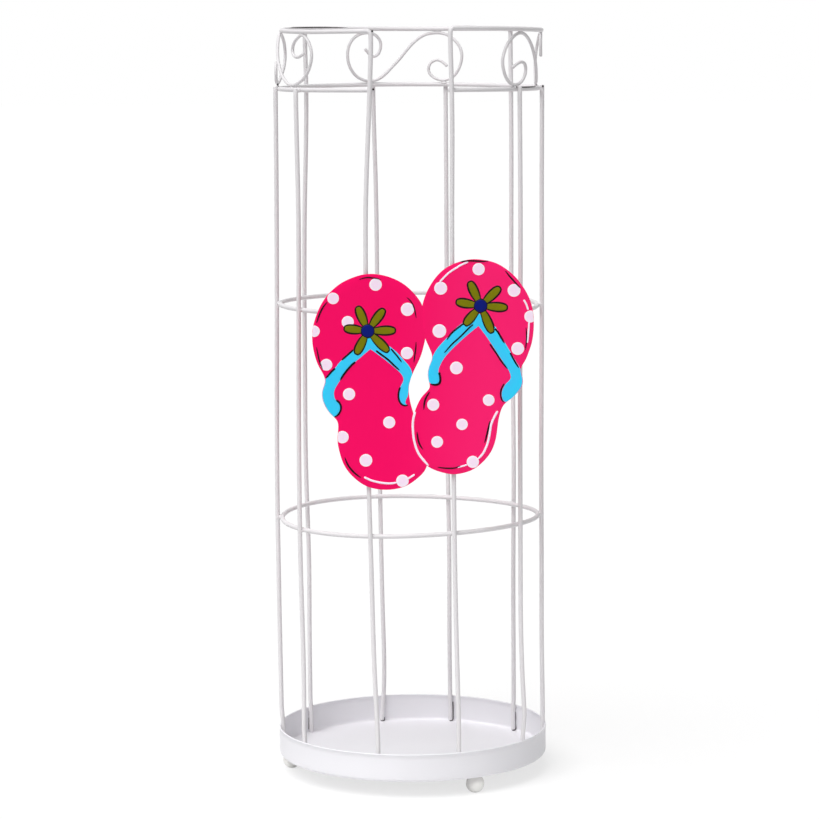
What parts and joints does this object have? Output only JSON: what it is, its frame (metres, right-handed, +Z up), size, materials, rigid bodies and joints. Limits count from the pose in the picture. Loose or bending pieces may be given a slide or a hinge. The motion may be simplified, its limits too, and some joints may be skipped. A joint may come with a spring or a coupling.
{
  "type": "umbrella stand",
  "caption": "Tall round umbrella stand of welded white wire with scrollwork under an open rim, a drip pan on ball feet and a flat sandal-shaped panel on its front.",
  "frame": {"origin": "on the floor under the middle of the pan", "axes": "+Z up, -Y to the open front of the rim and the panel, +X to the right seen from the front"},
  "size_m": [0.2388, 0.2388, 0.661],
  "materials": {
    "white_coat": "satin white powder coat",
    "panel_paint": "gloss hand-painted enamel"
  },
  "bodies": {
    "root": {"rim_wire": "white_coat", "band_ring": "white_coat", "upper_hoop": "white_coat", "lower_hoop": "white_coat", "back_left_upright": "white_coat", "back_right_upright": "white_coat", "left_front_wire": "white_coat", "left_side_wire": "white_coat", "back_left_wire": "white_coat", "back_right_wire": "white_coat", "right_side_wire": "white_coat", "right_front_wire": "white_coat", "left_scroll": "white_coat", "back_scroll": "white_coat", "right_scroll": "white_coat", "drip_pan": "white_coat", "left_foot": "white_coat", "front_right_foot": "white_coat", "back_right_foot": "white_coat", "sandal_panel": "panel_paint"}
  },
  "joints": []
}
